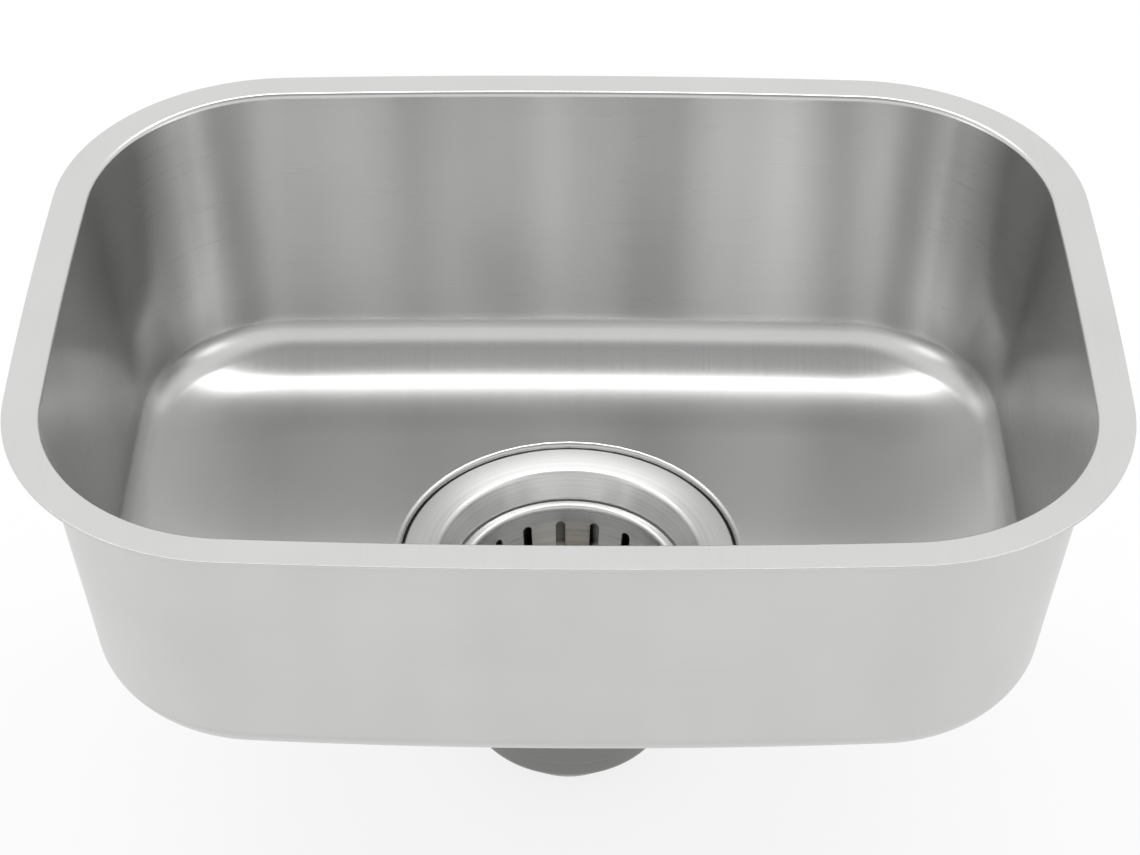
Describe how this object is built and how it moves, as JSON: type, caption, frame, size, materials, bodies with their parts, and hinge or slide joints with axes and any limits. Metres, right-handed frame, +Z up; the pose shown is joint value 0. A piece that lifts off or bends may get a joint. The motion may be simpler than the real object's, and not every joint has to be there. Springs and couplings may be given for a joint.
{
  "type": "undermount kitchen sink",
  "caption": "Pressed steel undermount bowl with a flat rim flange, rounded corners and a recessed drain that holds a lift-out basket strainer with a pull-up stopper.",
  "frame": {"origin": "middle of the rim's top plane, where the counter's underside meets the flange", "axes": "+Z up out of the bowl, +X along the bowl's length, +Y to the back"},
  "size_m": [0.3476, 0.26, 0.199],
  "materials": {
    "bowl_steel": "satin brushed stainless steel, fine grain along each panel",
    "strainer_steel": "turned stainless steel with a fine concentric grain",
    "basket_steel": "polished pressed stainless steel",
    "fastener_steel": "plain turned stainless steel",
    "cast_brass": "cast and turned brass, dull",
    "black_rubber": "matte moulded rubber",
    "stopper_rubber": "matte moulded rubber",
    "grey_fibre": "pressed fibre"
  },
  "bodies": {
    "sink": {"bowl": "bowl_steel", "flange_gasket": "black_rubber", "strainer_body": "strainer_steel", "outlet_ring": "strainer_steel", "crossbar": "strainer_steel", "rubber_washer": "black_rubber", "fibre_washer": "grey_fibre", "lock_nut": "cast_brass"},
    "basket": {"basket_cup": "basket_steel", "guide_bush": "cast_brass", "grip_ring": "black_rubber", "bush_washer": "fastener_steel", "bush_nut": "fastener_steel"},
    "stopper": {"post": "fastener_steel", "knob": "basket_steel", "knob_nut": "fastener_steel", "stop_clip": "fastener_steel", "seal_plate": "basket_steel", "stopper_seal": "stopper_rubber", "seal_retainer": "fastener_steel", "spring_washer": "fastener_steel", "post_nut": "fastener_steel"}
  },
  "joints": [
    {"name": "basket_lift", "type": "slide", "parent": "sink", "child": "basket", "axis": [0, 0, 1], "range_m": [0, 0.2]},
    {"name": "stopper_pull", "type": "slide", "parent": "basket", "child": "stopper", "axis": [0, 0, 1], "range_m": [0, 0.008]}
  ]
}
